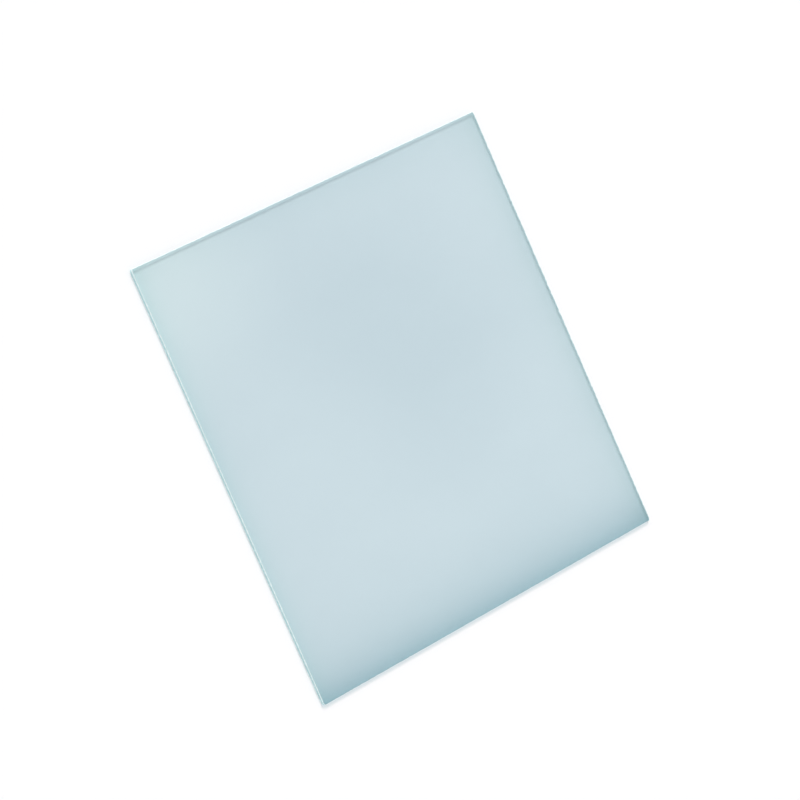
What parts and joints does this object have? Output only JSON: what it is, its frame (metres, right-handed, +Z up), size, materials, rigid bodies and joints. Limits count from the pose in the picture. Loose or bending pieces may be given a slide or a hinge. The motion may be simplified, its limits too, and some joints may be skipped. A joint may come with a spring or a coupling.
{
  "type": "microscope cover glass",
  "caption": "Thin square plate of clear glass that covers a specimen on a microscope slide.",
  "frame": {"origin": "centre of the lower face, the face that lies on the specimen or bench", "axes": "+X and +Y along the two pairs of sides, +Z up through the thickness towards the scored face"},
  "size_m": [0.022, 0.022, 0.0002],
  "materials": {
    "clear_glass": "clear fire-polished faces with a pale blue-green body colour; smooth snapped edges with a fine frosted score band under the upper face"
  },
  "bodies": {
    "root": {"cover_glass": "clear_glass"}
  },
  "joints": []
}
